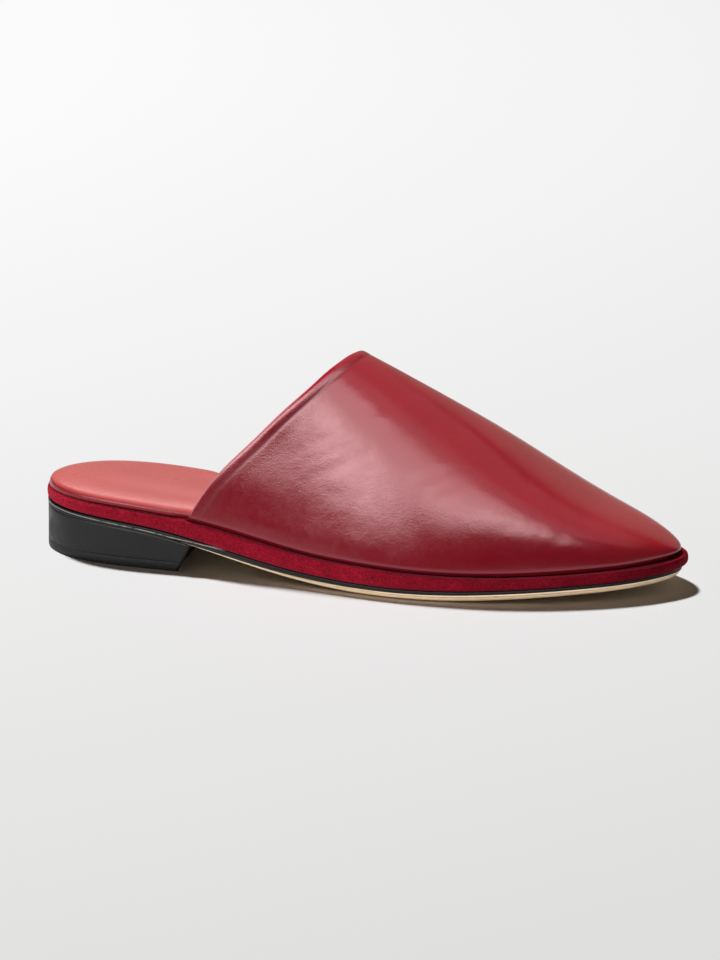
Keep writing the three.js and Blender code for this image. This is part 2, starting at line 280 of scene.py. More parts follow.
SUEDE_SHADE, SUEDE_RED, SUEDE_LIGHT = (0.075, 0.001, 0.004), (0.2, 0.003, 0.013), (0.36, 0.008, 0.027)
suede, tree, shader, coords = surface(
    "red_suede", Roughness=0.95, Specular_IOR_Level=0.1, Sheen_Weight=0.25, Sheen_Roughness=0.45,
    Sheen_Tint=(0.8, 0.12, 0.18, 1.0))
nap, patches = noise(tree, coords, 1300, 4.0, 0.7), noise(tree, coords, 140, 3.0)
tone = mixture(tree, (nap, 0.78), (patches, 0.22))
brushed = ramp(tree, tone, (0.32, SUEDE_SHADE), (0.5, SUEDE_RED), (0.68, SUEDE_LIGHT))
tree.links.new(brushed, shader.inputs["Base Color"])
relief(tree, shader, noise(tree, coords, 1500, 4.0, 0.7), 0.00035)

# Up the side of the slab: inset, and height as a share of the slab's.
RAND_EDGE = [(1.5, 0.0), (0.5, 0.1), (0.0, 0.32), (0.0, 0.74), (0.28, 0.93), (1.0, 1.0)]
rand_rows = [
    (inset, lambda p, share=share: seat(p) + GAP + share * rand(p))
    for inset, share in through(RAND_EDGE, 14)
]
rand_points, rand_faces = slab(rand_rows, steps=300)
# A small pucker where the topline's outer end is pulled down to the suede.
PUCKER_STATION, PUCKER_INSET, PUCKER_DROP = 66.5, 0.5, 0.3
PUCKER_REACH, PUCKER_RISE = 2.0, 0.55
PUCKER_WAY = np.array([0.0, -0.6, 0.8])


def bell(off, spread):
    """A smooth bump: 1 where off is 0, and gone a few spreads away."""
    return np.exp(-((off / spread) ** 2))


pucker_phase = phase_at(PUCKER_STATION)
pucker = np.array([*plan(pucker_phase, OUTER, PUCKER_INSET), rand_top(pucker_phase) - PUCKER_DROP])
puckered = bell(np.linalg.norm(rand_points - pucker, axis=1), PUCKER_REACH)
rand_points += PUCKER_RISE * puckered[:, None] * PUCKER_WAY
midsole = build("midsole_suede", rand_points, rand_faces, suede)
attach(midsole, "root")
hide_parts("midsole")


# Outsole: thin sole leather, cemented under the midsole.
# Its upright edge is painted black, and below that a bevel is left natural and fades out towards the heel.
EDGE_WALL = 2.0
BEVEL_INSET = 2.4
FULL_BEVEL = 2.7
LEAST_BEVEL = 0.05
BREAST_STATION = 62.0
# Up the bevel: shares of its inset and of its depth. Up the black edge: inset and drop, with a scored line.
BEVEL_EDGE = [(2.4, 1.0), (1.35, 0.9), (0.95, 0.83), (0.68, 0.72), (0.46, 0.5), (0.32, 0.27), (0.25, 0.04)]
BLACK_EDGE = [(0.06, 1.98), (0.0, 1.88), (0.0, 1.55), (0.0, 1.25), (0.1, 1.1), (0.0, 0.95), (0.0, 0.25),
              (0.08, 0.08), (0.35, 0.0)]


def tread(phase):
    return np.maximum(0, seat(phase) - sole(phase))


def bevel_height(phase):
    return np.maximum(LEAST_BEVEL, seat(phase) - tread(phase) - EDGE_WALL)


sole_rows = [
    (
        lambda p, k=k: edge(p) + k * BEVEL_INSET * bevel_height(p) / FULL_BEVEL,
        lambda p, share=share: seat(p) - EDGE_WALL - share * bevel_height(p),
    )
    for k, share in BEVEL_EDGE
] + [
    (lambda p, inset=inset: edge(p) + inset, lambda p, drop=drop: seat(p) - drop)
    for inset, drop in BLACK_EDGE
]


def blend(tree, share, first, second):
    """One colour into another by a share; each is a socket or a colour."""
    node = add(tree, "ShaderNodeMix", data_type="RGBA", blend_type="MIX")
    tree.links.new(share, node.inputs["Factor"])
    for socket, colour in ((node.inputs[6], first), (node.inputs[7], second)):
        if isinstance(colour, tuple):
            socket.default_value = (*colour, 1.0)
        else:
            tree.links.new(colour, socket)
    return node.outputs[2]


def between(tree, value, low, high):
    """A value stretched so that low gives 0 and high gives 1, and held there."""
    node = add(tree, "ShaderNodeMapRange", clamp=True)
    node.inputs["From Min"].default_value = low
    node.inputs["From Max"].default_value = high
    tree.links.new(value, node.inputs["Value"])
    return node.outputs["Result"]


def gloss(tree, shader, pattern, first, last):
    """Roughness that runs from one value to another over a pattern."""
    tree.links.new(ramp(tree, pattern, (0.3, (first,) * 3), (0.7, (last,) * 3)), shader.inputs["Roughness"])


def kept_value(tree, name):
    """A value kept at the points of the mesh."""
    return add(tree, "ShaderNodeAttribute", attribute_name=name).outputs["Fac"]


def keep_at_points(piece, name, values):
    """Keeps a value at each point of a piece, for its material to read."""
    piece.data.attributes.new(name, "FLOAT", "POINT").data.foreach_set("value", values)


NATURAL_DARK, NATURAL_TAN, NATURAL_PALE = (0.72, 0.53, 0.34), (0.86, 0.68, 0.47), (0.92, 0.76, 0.56)
EDGE_BLACK, HIGHLIGHT_GREY = (0.005, 0.005, 0.005), (0.22, 0.215, 0.2)
sole_leather, tree, shader, coords = surface("sole_leather", Specular_IOR_Level=0.3)
fibre = add(tree, "ShaderNodeMapping")
fibre.inputs["Scale"].default_value = (1.0, 1.0, 6.0)
tree.links.new(coords, fibre.inputs["Vector"])
streaks = noise(tree, fibre.outputs["Vector"], 220, 5.0, 0.65)
natural = ramp(tree, streaks, (0.3, NATURAL_DARK), (0.5, NATURAL_TAN), (0.72, NATURAL_PALE))
painted = between(tree, kept_value(tree, "paint_edge"), -0.05, 0.05)
# A painted highlight: a thin grey line along the black edge, broken up by noise.
off_line = math_node(tree, "ABSOLUTE", kept_value(tree, "edge_highlight_line"), 0.0)
highlight_breaks = between(tree, noise(tree, coords, 300, 4.0), 0.3, 0.5)
painted_highlight = math_node(tree, "MULTIPLY", between(tree, off_line, 0.3, 0.08), highlight_breaks)
edge_paint_and_highlight = blend(tree, painted_highlight, EDGE_BLACK, HIGHLIGHT_GREY)
tree.links.new(blend(tree, painted, natural, edge_paint_and_highlight), shader.inputs["Base Color"])
gloss(tree, shader, noise(tree, coords, 160, 4.0), 0.32, 0.5)
relief(tree, shader, streaks, 0.00015)

sole_points, sole_faces = slab(sole_rows)
outsole = build("outsole_leather", sole_points, sole_faces, sole_leather)
# The paint is two millimetres deep at the arch, less along the forepart, and covers all of the heel seat.
# A painted highlight, a thin grey line, runs along it over the heel and fades at the arch. Both are depths
# below the top by station.
PAINT_DEPTH = [(68.0, 2.1), (100.0, 1.95), (150.0, 1.6), (200.0, 1.35)]
HIGHLIGHT_DEPTH = [(0.0, 0.75), (30.0, 0.9), (66.0, 1.45)]
ALL_BLACK = BREAST_STATION + 5
HIGHLIGHT_FADE = 14.0
along_sole = sole_points[:, 0]
below_top = seat(phase_at(np.clip(along_sole, 0, LENGTH))) - sole_points[:, 2]
paint_edge = np.interp(along_sole, *zip(*PAINT_DEPTH)) - below_top
paint_edge[along_sole < ALL_BLACK] = 1.0
past_breast = np.clip((along_sole - BREAST_STATION) / HIGHLIGHT_FADE, 0, 4)
keep_at_points(outsole, "paint_edge", paint_edge)
keep_at_points(outsole, "edge_highlight_line", below_top - np.interp(along_sole, *zip(*HIGHLIGHT_DEPTH)) + past_breast)
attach(outsole, "root")
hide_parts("outsole")


# Heel block: stacked layers under satin black paint, nailed up through the outsole.
# Its front face leans forwards as it rises and is a little hollow.
HEEL_INSET = 0.2
HEEL_GAP = 0.06
LIFT_HEIGHT = 3.8
LIFT_GAP = 0.02
BREAST_LEAN = math.tan(math.radians(27))
BREAST_RADIUS = 140.0


def heel_ring(inset, height, sides=70, front=25):
    """One closed line round the heel at a height, which may vary with phase."""

    def breast(x, y, z):
        hollow = BREAST_RADIUS - math.sqrt(BREAST_RADIUS**2 - y * y)
        return x - (BREAST_STATION + hollow + BREAST_LEAN * z)

    def level(p):
        return float(height(p)) if callable(height) else height

    # Each corner, where the side meets the front face, is found by halving.
    corners = []
    for side in (OUTER, INNER):
        low, high = phase_at(BREAST_STATION - 32), phase_at(BREAST_STATION + 38)
        for _ in range(40):
            middle = (low + high) / 2
            x, y = plan(middle, side, inset)
            low, high = (middle, high) if breast(float(x), float(y), level(middle)) < 0 else (low, middle)
        corners.append(low)
    ring = []
    for side, corner in zip((OUTER, INNER), corners):
        phases = corner * np.linspace(0, 1, sides + 1)
        x, y = plan(phases, side, inset)
        ring.append([np.array([a, b, level(p)]) for a, b, p in zip(x, y, phases)])
    outer, inner = ring
    start, end = outer[-1], inner[-1]
    across = []
    for k in range(1, front):
        y, z = start[1:] + (end[1:] - start[1:]) * k / front
        across.append(np.array([-breast(0.0, y, z), y, z]))
    return [*outer, *across, *inner[:0:-1]]


def heel_shape(rows):
    """A closed block from rings round the heel. Each row is inset and height, from the bottom up."""
    rings = [heel_ring(inset, height) for inset, height in rows]
    count = len(rings[0])
    faces = [
        (r * count + i, r * count + (i + 1) % count, (r + 1) * count + (i + 1) % count, (r + 1) * count + i)
        for r in range(len(rings) - 1)
        for i in range(count)
    ]
    faces.append(tuple(range(count - 1, -1, -1)))
    faces.append(tuple((len(rings) - 1) * count + i for i in range(count)))
    return [p for ring in rings for p in ring], faces


def heel_top(phase):
    return seat(phase) - np.maximum(sole(phase), EDGE_WALL + LEAST_BEVEL) - HEEL_GAP


# Up the side of the block: inset, and height as a share of the block's.
HEEL_SIDE = [(-0.15, 0.0), (-0.15, 0.03), (-0.1, 0.2), (0.0, 0.5), (0.06, 0.9), (0.1, 0.98), (0.3, 1.0)]
HEEL_BLACK = (0.006, 0.006, 0.0065, 1.0)
heel_floor = LIFT_HEIGHT + LIFT_GAP
heel_black, tree, shader, coords = surface("heel_black_paint", Specular_IOR_Level=0.35, Base_Color=HEEL_BLACK)
gloss(tree, shader, noise(tree, coords, 120, 4.0), 0.38, 0.55)
relief(tree, shader, noise(tree, coords, 700, 4.0), 0.0001)
heel_rows = [
    (HEEL_INSET + inset, lambda p, share=share: heel_floor + share * (heel_top(p) - heel_floor))
    for inset, share in HEEL_SIDE
]
heel_block = build("heel_block_black", *heel_shape(heel_rows), heel_black)
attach(heel_block, "root")
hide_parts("heel_block")


# Heel top lift: a layer of matt black rubber nailed on under the heel, the part that meets the floor.
# It is trimmed flush with the heel, so that the two look like one block.
LIFT_SIDE = [(0.25, 0.0), (0.0, 0.1), (-0.15, 0.4), (-0.17, 2.2), (-0.15, 3.7), (-0.12, LIFT_HEIGHT)]
rubber, tree, shader, coords = surface(
    "black_rubber", Roughness=0.55, Specular_IOR_Level=0.35, Base_Color=HEEL_BLACK)
relief(tree, shader, noise(tree, coords, 900, 3.0), 0.00015)
lift_rows = [(HEEL_INSET + inset, height) for inset, height in LIFT_SIDE]
top_lift = build("heel_top_lift_rubber", *heel_shape(lift_rows), rubber)
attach(top_lift, "root")
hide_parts("heel_top_lift")


# Insole: a foam-padded sock covered in smooth red leather, glued on the midsole.
# Its edge rolls over a low lip; it is bare at the heel and lies inside the vamp in front.
SOCK = [
    ("station", "inset"),
    (0, 0.9),
    (40, 1.3),
    (57, 1.5),
    (63, 2.2),
    (68.5, 4.0),
    (75, 4.15),
    (95, 4.1),
    (150, 4.1),
    (215, 5.0),
    (250, 7.5),
    (268, 10.0),
]
# Up the sock's round edge: inset, and height as a share of the padding's.
SOCK_EDGE = [(1.4, -0.06), (0.9, 0.05), (0.45, 0.12), (0.12, 0.2), (0.02, 0.29), (0.08, 0.39), (0.25, 0.48),
             (0.6, 0.58), (1.2, 0.68), (2.1, 0.765), (3.3, 0.835), (4.8, 0.89), (6.6, 0.935), (9.0, 0.975),
             (12.0, 1.0)]
PILLOW = 0.75
PILLOW_HALF = 30
LIP = 0.95
LIP_PHASE = 0.55
LIP_SHARE, LIP_SPREAD = 0.09, 0.06
sock_inset = column(SOCK, "inset")

grain = bpy.data.node_groups.new("leather_grain", "ShaderNodeTree")
grain.interface.new_socket("Height", in_out="OUTPUT", socket_type="NodeSocketFloat")
grain.interface.new_socket("Tone", in_out="OUTPUT", socket_type="NodeSocketFloat")
grain_out = add(grain, "NodeGroupOutput")
coords = add(grain, "ShaderNodeTexCoord").outputs["Object"]
pores = add(grain, "ShaderNodeTexVoronoi", feature="DISTANCE_TO_EDGE")
pores.inputs["Scale"].default_value = 1100
grain.links.new(coords, pores.inputs["Vector"])
pebbles = math_node(grain, "MINIMUM", math_node(grain, "MULTIPLY", pores.outputs["Distance"], 3.0), 1.0)
fine = noise(grain, coords, 1900, 4.0, 0.6)
loose = noise(grain, coords, 240, 3.0, 0.5)
broad, speckled = noise(grain, coords, 45, 4.0), noise(grain, coords, 420, 3.0)
grain.links.new(mixture(grain, (pebbles, 0.25), (fine, 0.25), (loose, 1.0)), grain_out.inputs["Height"])
grain.links.new(mixture(grain, (broad, 0.65), (speckled, 0.35)), grain_out.inputs["Tone"])


def leather(name, dark, light, rough, bump, side=None, facing=(0.1, 0.75), wrinkles=0.0, **constants):
    """Smooth grained leather between two tones of one colour.

    Upright sides take painted shade, a darker side colour blended in between the two upward facings,
    if one is given; fine wrinkles are as deep as asked, in metres.
    """
    material, tree, shader, coords = surface(name, **constants)
    group = add(tree, "ShaderNodeGroup", node_tree=grain)
    colour = ramp(tree, group.outputs["Tone"], (0.3, dark), (0.7, light))
    # Painted shade: the less a point faces upwards, the more of the darker side colour it takes.
    if side:
        upright = add(tree, "ShaderNodeSeparateXYZ")
        tree.links.new(add(tree, "ShaderNodeNewGeometry").outputs["Normal"], upright.inputs["Vector"])
        upwards = ramp(tree, upright.outputs["Z"], (facing[0], (0.0,) * 3), (facing[1], (1.0,) * 3))
        colour = blend(tree, upwards, side, colour)
    tree.links.new(colour, shader.inputs["Base Color"])
    gloss(tree, shader, group.outputs["Tone"], rough + 0.05, rough - 0.05)
    height = math_node(tree, "MULTIPLY", group.outputs["Height"], bump)
    if wrinkles:
        drawn = add(tree, "ShaderNodeMapping")
        drawn.inputs["Rotation"].default_value = (0.0, math.radians(-35), 0.0)
        drawn.inputs["Scale"].default_value = (0.75, 1.0, 1.15)
        tree.links.new(coords, drawn.inputs["Vector"])
        lines = noise(tree, drawn.outputs["Vector"], 460, 2.0)
        apart = math_node(tree, "SUBTRACT", lines, 0.5)
        rounded = math_node(tree, "ADD", math_node(tree, "MULTIPLY", apart, apart), 0.0015)
        folds = math_node(tree, "SQRT", rounded, 0.0)
        height = math_node(tree, "ADD", height, math_node(tree, "MULTIPLY", folds, wrinkles))
    relief(tree, shader, height, 1.0)
    return material


# The sock's side colour is painted shade on its rounded edge.
SOCK_RED, SOCK_LIGHT, SOCK_SIDE_SHADE = (0.33, 0.05, 0.049), (0.37, 0.06, 0.057), (0.2, 0.007, 0.015)
sock_leather = leather(
    "sock_leather", SOCK_RED, SOCK_LIGHT, 0.31, 0.00002, SOCK_SIDE_SHADE, facing=(0.4, 0.975),
    Specular_IOR_Level=0.6, Specular_Tint=(1.0, 0.75, 0.75, 1.0))


def pillow(phase, share):
    """The padding's soft rise between its edges."""
    return PILLOW * (1 - (2 * share - 1) ** 2) ** 2 * min(1.0, float(half(phase)) / PILLOW_HALF) ** 3


def lip(phase, share):
    """The turned edge of the leather, which shows under the padding at the back of the heel."""
    return LIP * bell(phase, LIP_PHASE) * bell(share - LIP_SHARE, LIP_SPREAD)


sock_rows = [
    (
        lambda p, inset=inset, share=share: sock_inset(p) + inset - lip(p, share),
        lambda p, share=share: rand_top(p) + GAP + share * sock(p),
    )
    for inset, share in through(SOCK_EDGE, 36)
]
# Over the arch the padding is lifted along the inner side.
ARCH_LIFT, ARCH_STATION, ARCH_REACH = 2.6, 80.0, 22.0
sock_points, sock_faces = slab(sock_rows, across=16, crown=pillow)
sock_phases = phase_at(np.clip(sock_points[:, 0], 0, LENGTH))
up_sock = np.clip((sock_points[:, 2] - rand_top(sock_phases) - GAP) / sock(sock_phases), 0, 1)
inwards = np.clip((sock_points[:, 1] - centre(sock_phases)) / np.maximum(half(sock_phases), 1.0), 0, 1)
sock_points[:, 2] += ARCH_LIFT * bell(sock_points[:, 0] - ARCH_STATION, ARCH_REACH) * up_sock * inwards**1.5
insole = build("insole_leather", sock_points, sock_faces, sock_leather)
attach(insole, "root")
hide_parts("insole")


# Upper: one seamless vamp of smooth red leather, lasted over the toe and tucked in under its lower edge.
# The topline is turned over a cord into a roll, with a stitched-down groove below it.
PEAK_STATION = 133.8
LOW_STATION = {OUTER: 68.5, INNER: 71.0}
VAMP = [
    ("station", "ledge", "rise", "lean", "hollow", "arch"),
    (50, 1.4, 107.0, 2.0, 0.3, 1.0),
    (100, 1.4, 89.6, 2.5, 0.3, 1.0),
    (134, 1.4, 77.0, 3.0, 0.3, 1.0),
    (160, 1.5, 64.8, 3.0, 0.22, 0.98),
    (190, 1.6, 48.3, 2.5, 0.06, 0.9),
    (217, 1.8, 30.6, 1.5, -0.02, 0.78),
    (235, 1.9, 20.0, 0.8, -0.02, 0.72),
    (250, 2.1, 12.9, 0.3, 0.0, 0.72),
    (259, 2.2, 8.3, 0.0, 0.0, 0.74),
    (268, 2.3, 0.0, 0.0, 0.0, 0.76),
]
TOPLINE = [
    ("up", "outer", "inner"),
    (0.0, 0.0, 0.0),
    (0.2, 0.171, 0.176),
    (0.42, 0.408, 0.432),
    (0.6, 0.586, 0.633),
    (0.8, 0.781, 0.845),
    (0.92, 0.897, 0.943),
    (1.0, 1.0, 1.0),
]
# Across the topline: a flattened roll of this half width and half height, sunk a little below the outside.
# It is lower at its two lower ends and over the instep.
ROLL_WIDE, ROLL_HIGH = 2.0, 1.15
ROLL_IN, ROLL_SINK = 1.95, 0.86
ROLL_END, ROLL_END_UP = 0.2, (0.1, 0.55)
ROLL_DIP, ROLL_DIP_ANGLE, ROLL_DIP_SPREAD = 0.4, 95, 10
# Beside the roll runs the groove: distance from the edge and how far the outside stands proud.
# Its middle is darkened with painted shade, and more faintly near the peak.
GROOVE = [(2.5, 0.27), (3.1, 0.21), (3.6, 0.13), (4.0, 0.03), (4.4, -0.04), (4.8, -0.03), (5.4, 0.02),
          (6.2, 0.03), (7.5, 0.015), (9.0, 0.0), (10.5, 0.0)]
GROOVE_PLACE, GROOVE_SPREAD = 4.3, 0.95
GROOVE_FAINT, GROOVE_FAINT_ANGLE, GROOVE_FAINT_SPREAD = 0.65, 80, 38
# On the outer side, just before the peak, the edge runs a little fuller.
PEAK_LEAD, PEAK_LEAD_ANGLE, PEAK_LEAD_SPREAD = 1.5, 82, 13
# Behind the peak the outer wall sinks in by this much, growing backwards and upwards.
SINK = 1.2
SINK_ALONG, SINK_UP = (135.0, 90.0), (0.17, 0.5)
SKIN = 1.5
# The lower edge is tucked in over the midsole, and just above the midsole every point stays clear of it.
TUCK, TUCK_HEIGHT = 1.2, 1.5
CLEAR = 0.02
# Beside the toes the lower wall is drawn in a little as it rises; beside the arch it swells above its edge.
DRAWN_IN, DRAWN_UP = 0.6, (0.0, 0.8)
DRAWN_FROM, DRAWN_TO = (150, 200), (264, 244)
SWELL, SWELL_HEIGHT, SWELL_SPREAD = 0.22, 7.0, 6.0
SWELL_ALONG = (165, 125)
# Gentle unevenness of the leather: depth and size of each kind of swell. It is least over the toes.
UNEVEN = [(0.16, 21.0), (0.035, 6.0)]
UNEVEN_LEAST, UNEVEN_ALONG = 0.3, (200, 140)
# The leather moves freely from this height over the lower edge and this many rows past the roll.
FREE_HEIGHT, FREE_ROWS = 5.0, 12
# Creases where the leather has bent: half width, depth, and the line as station and angle in degrees.
# Each has a low lip on both sides: its share of the depth, and its place and spread in half widths.
CREASE_LIP, CREASE_LIP_PLACE, CREASE_LIP_SPREAD = 0.45, 1.8, 0.8
CREASES = [
    (2.2, 0.05, [(107.5, 24.0), (117.0, 29.8), (126.5, 35.5), (134.5, 42.0)]),
    (2.0, 0.05, [(118.8, 36.2), (127.0, 42.2), (133.8, 47.8), (139.2, 53.0)]),
    (2.3, 0.04, [(118.0, 20.8), (130.0, 26.8), (142.2, 34.8), (150.5, 42.5)]),
    (2.6, 0.03, [(140.0, 46.5), (147.2, 48.2), (154.5, 50.3), (161.0, 51.2)]),
    (2.1, 0.045, [(120.2, 44.8), (127.0, 51.2), (132.5, 57.5)]),
    (2.4, 0.06, [(159.8, 29.2), (168.2, 35.8), (176.5, 42.2), (184.0, 47.5)]),
    (2.2, 0.06, [(169.2, 27.2), (176.2, 34.5), (181.5, 39.8), (188.0, 45.2)]),
    (2.3, 0.06, [(211.2, 34.2), (214.0, 41.2), (216.8, 47.8)]),
    (2.3, 0.06, [(200.8, 23.8), (206.2, 27.5), (211.8, 29.2)]),
    (2.3, 0.06, [(222.0, 21.2), (225.0, 27.8), (227.5, 34.0)]),
    (4.2, 0.09, [(217.5, 52.5), (219.0, 53.5), (220.5, 54.5)]),
    (9.0, -0.13, [(147.0, 55.5), (149.0, 53.2), (156.5, 44.0), (163.8, 37.0), (168.0, 33.0)]),
]

ledge, rise, lean, hollow, arch = (column(VAMP, name) for name in VAMP[0][1:])
up, along_outer, along_inner = zip(*TOPLINE[1:])
along_outer, along_inner = spline(up, along_outer), spline(up, along_inner)


def part_way(value, start, end):
    """How far a value has come from start to end, held between 0 and 1."""
    return np.clip((value - start) / (end - start), 0, 1)


def eased(share):
    """A share that starts and ends softly."""
    return share * share * (3 - 2 * share)


def vamp_point(phase, angle, depth):
    """A point of the vamp: angle 0 at the outer lower edge, pi at the inner one, depth from outside."""
    outer = np.stack(plan(phase, OUTER, ledge(phase) + depth), -1)
    inner = np.stack(plan(phase, INNER, ledge(phase) + depth), -1)
    crest = (outer + inner) / 2
    width = inner[..., 1] - outer[..., 1]
    crest[..., 1] += np.minimum(lean(phase), width / 6)
    foot = np.where((np.cos(angle) > 0)[..., None], outer, inner)
    swing, lift = np.abs(np.cos(angle)), np.clip(np.sin(angle), 0, 1)
    share = swing ** arch(phase) * (1 - hollow(phase) * lift * swing)
    station = LENGTH * (1 - np.cos(phase)) / 2
    sunk = SINK * eased(part_way(station, *SINK_ALONG)) * eased(part_way(lift, *SINK_UP)) * swing
    share = share - np.where(np.cos(angle) > 0, sunk, 0.0) / np.maximum(width / 2, 1.0)
    flat = crest + (foot - crest) * share[..., None]
    full = np.maximum(rise(phase), 1e-9)
    high = rand_top(phase) + GAP + full**2 / (full + depth) * lift ** arch(phase)
    return np.concatenate([flat, high[..., None]], -1)


def topline_phase(angle):
    near = np.cos(angle) > 0
    height = np.clip(np.sin(angle), 0, 1)
    low = np.where(near, LOW_STATION[OUTER], LOW_STATION[INNER])
    return phase_at(low + (PEAK_STATION - low) * np.where(near, along_outer(height), along_inner(height)))


def roll_rate(angle):
    """Phase for one millimetre straight away from the topline."""
    step = 1e-3
    start = topline_phase(angle)
    here = vamp_point(start, angle, 0.0)
    along = vamp_point(start + step, angle, 0.0) - here
    turn = np.where(angle < math.pi / 2, step, -step)
    run = vamp_point(topline_phase(angle + turn), angle + turn, 0.0) - here
    away = np.linalg.norm(np.cross(along, run), axis=-1) / np.linalg.norm(run, axis=-1)
    return step / away


def normals(grid):
    """Outward normals of a grid of points, rows along the shoe and columns from outer to inner side."""
    along, round_ = np.gradient(grid, axis=0), np.gradient(grid, axis=1)
    out = np.cross(along, round_)
    size = np.linalg.norm(out, axis=-1, keepdims=True)
    return out / np.maximum(size, 1e-12)


def round_roll(first, last, count):
    """Points round the roll between two angles in degrees: distance from the edge and height."""
    turn = np.radians(np.linspace(first, last, count))
    return np.column_stack([ROLL_IN + ROLL_WIDE * np.cos(turn), ROLL_HIGH * np.sin(turn) - ROLL_SINK])


def crease(grid, width, depth, line):
    """How far a crease pushes a grid of points: a soft trough with low lips that fades at both ends."""
    line = np.array(line, float)
    run = np.linspace(0, 1, 60)
    knots = np.linspace(0, 1, len(line))
    stations, turns = (spline(knots, line[:, k])(run) for k in (0, 1))
    path = vamp_point(phase_at(stations), np.radians(turns), 0.0)
    apart = np.linalg.norm(grid[:, :, None] - path, axis=-1)
    taper = np.sin(math.pi * np.clip(run[apart.argmin(-1)], 0.03, 0.97)) ** 0.6
    off = apart.min(-1) / width
    return -depth * taper * (bell(off, 1.0) - CREASE_LIP * bell(off - CREASE_LIP_PLACE, CREASE_LIP_SPREAD))


def sway(grid, size):
    """Gentle unevenness between -1 and 1 over a grid of points, with swells of about this size."""
    return np.array([[perlin(Vector(p / size)) for p in row] for row in grid])


# The mesh: columns from side to side, rows past the groove, and every how many of them the inside has one.
ANGLES = 201
REST = 190
INSIDE_EVERY = 5
even = np.linspace(0, 1, ANGLES)
angles = math.pi * (even - 0.6 * np.sin(2 * math.pi * even) / (2 * math.pi))
degrees = np.degrees(angles)


def vamp_grid(phases, depth):
    """The vamp's form at a depth, as a grid with one row for each row of phases."""
    return vamp_point(phases, np.broadcast_to(angles, phases.shape), depth)


def clear_of_midsole(grid, phases):
    grid[..., 2] = np.maximum(grid[..., 2], rand_top(phases) + CLEAR)
    return grid


rates = roll_rate(angles)
starts = topline_phase(angles) - rates * PEAK_LEAD * bell(degrees - PEAK_LEAD_ANGLE, PEAK_LEAD_SPREAD)
roll = np.concatenate([round_roll(180, 90, 14), through(GROOVE, 27)])
rest = np.linspace(0, 1, REST + 1)[1:, None]
roll_phases = starts + rates * roll[:, :1]
rest_phases = roll_phases[-1] + (math.pi - roll_phases[-1]) * rest
phases = np.concatenate([roll_phases, rest_phases])
skin = vamp_grid(phases, 0.0)
along_skin = skin[..., 0]
over_feather = skin[..., 2] - (rand_top(phases) + GAP)

# How far the outside stands proud of the plain form: roll, creases, unevenness, wall and tuck in turn.
proud = np.zeros(phases.shape)
fade = ROLL_END + (1 - ROLL_END) * part_way(np.sin(angles), *ROLL_END_UP) ** 1.5
dip = 1 - ROLL_DIP * bell(degrees - ROLL_DIP_ANGLE, ROLL_DIP_SPREAD)
over = (roll[:, 1:] > 0) | (roll[:, :1] > ROLL_IN)
proud[: len(roll)] = roll[:, 1:] * np.where(over, dip * fade, 1.0)
past_roll = part_way(np.arange(len(phases)), len(roll), len(roll) + FREE_ROWS)[:, None]
free = (1 - bell(over_feather, FREE_HEIGHT)) * past_roll
for width, depth, line in CREASES:
    proud += free * crease(skin, width, depth, line)
bent = np.maximum(UNEVEN_LEAST, part_way(along_skin, *UNEVEN_ALONG))
for depth, size in UNEVEN:
    proud += free * bent * depth * sway(skin, size)
beside_toes = part_way(along_skin, *DRAWN_FROM) * part_way(along_skin, *DRAWN_TO)
up_wall = part_way(over_feather / np.maximum(rise(phases), 1.0), *DRAWN_UP)
proud -= DRAWN_IN * beside_toes * np.sin(math.pi * up_wall)
beside_arch = part_way(along_skin, *SWELL_ALONG) * free
proud += SWELL * beside_arch * bell(over_feather - SWELL_HEIGHT, SWELL_SPREAD)
proud -= TUCK * bell(over_feather, TUCK_HEIGHT)
outside = clear_of_midsole(skin + normals(skin) * proud[..., None], phases)

under = np.concatenate([round_roll(180, 295, 11), [(4.5, -SKIN), (10.5, -SKIN)]])
under_phases = starts + rates * under[:, :1]
under_skin = vamp_grid(under_phases, 0.0)
under_rows = clear_of_midsole(under_skin + normals(under_skin) * under[:, 1:, None], under_phases)
under_rows[0] = outside[0]
inside_phases = rest_phases[INSIDE_EVERY - 1 :: INSIDE_EVERY]
inside = np.concatenate([under_rows, vamp_grid(inside_phases, SKIN)])


def shell(outside, inside, ties):
    """A closed wall between two grids. Ties are the rows of each that lie opposite one another."""
    points, faces = [], []
    number = {}

    def index(p):
        key = tuple(np.round(p, 4))
        if key not in number:
            number[key] = len(points)
            points.append(p)
        return number[key]

    def face(*corners):
        corners = list(dict.fromkeys(corners))
        if len(corners) > 2:
            faces.append(tuple(corners))

    out, back = (np.array([[index(p) for p in row] for row in grid]) for grid in (outside, inside))
    for r in range(len(out) - 1):
        for c in range(out.shape[1] - 1):
            face(out[r, c], out[r + 1, c], out[r + 1, c + 1], out[r, c + 1])
    for r in range(len(back) - 1):
        for c in range(back.shape[1] - 1):
            face(back[r, c], back[r, c + 1], back[r + 1, c + 1], back[r + 1, c])
    for c in range(out.shape[1] - 1):
        face(out[0, c], out[0, c + 1], back[0, c + 1], back[0, c])
    for side, turn in ((0, -1), (-1, 1)):
        for (a, b), (c, d) in zip(ties, ties[1:]):
            face(*[*out[a : c + 1, side], *back[b : d + 1, side][::-1]][::turn])
    return np.array(points), faces


# The vamp's side colour is painted shade on its upright walls.
VAMP_RED, VAMP_LIGHT, VAMP_SIDE_SHADE = (0.24, 0.0035, 0.011), (0.275, 0.0045, 0.016), (0.16, 0.002, 0.009)
GROOVE_SHADE_RED, GROOVE_ROUGH = (0.12, 0.002, 0.007), (0.42,) * 3
upper_leather = leather(
    "upper_leather", VAMP_RED, VAMP_LIGHT, 0.21, 0.000045, VAMP_SIDE_SHADE, wrinkles=0.000042,
    Specular_IOR_Level=1.0, Specular_Tint=(1.0, 0.72, 0.75, 1.0))
tree = upper_leather.node_tree
shader = tree.nodes["Principled BSDF"]
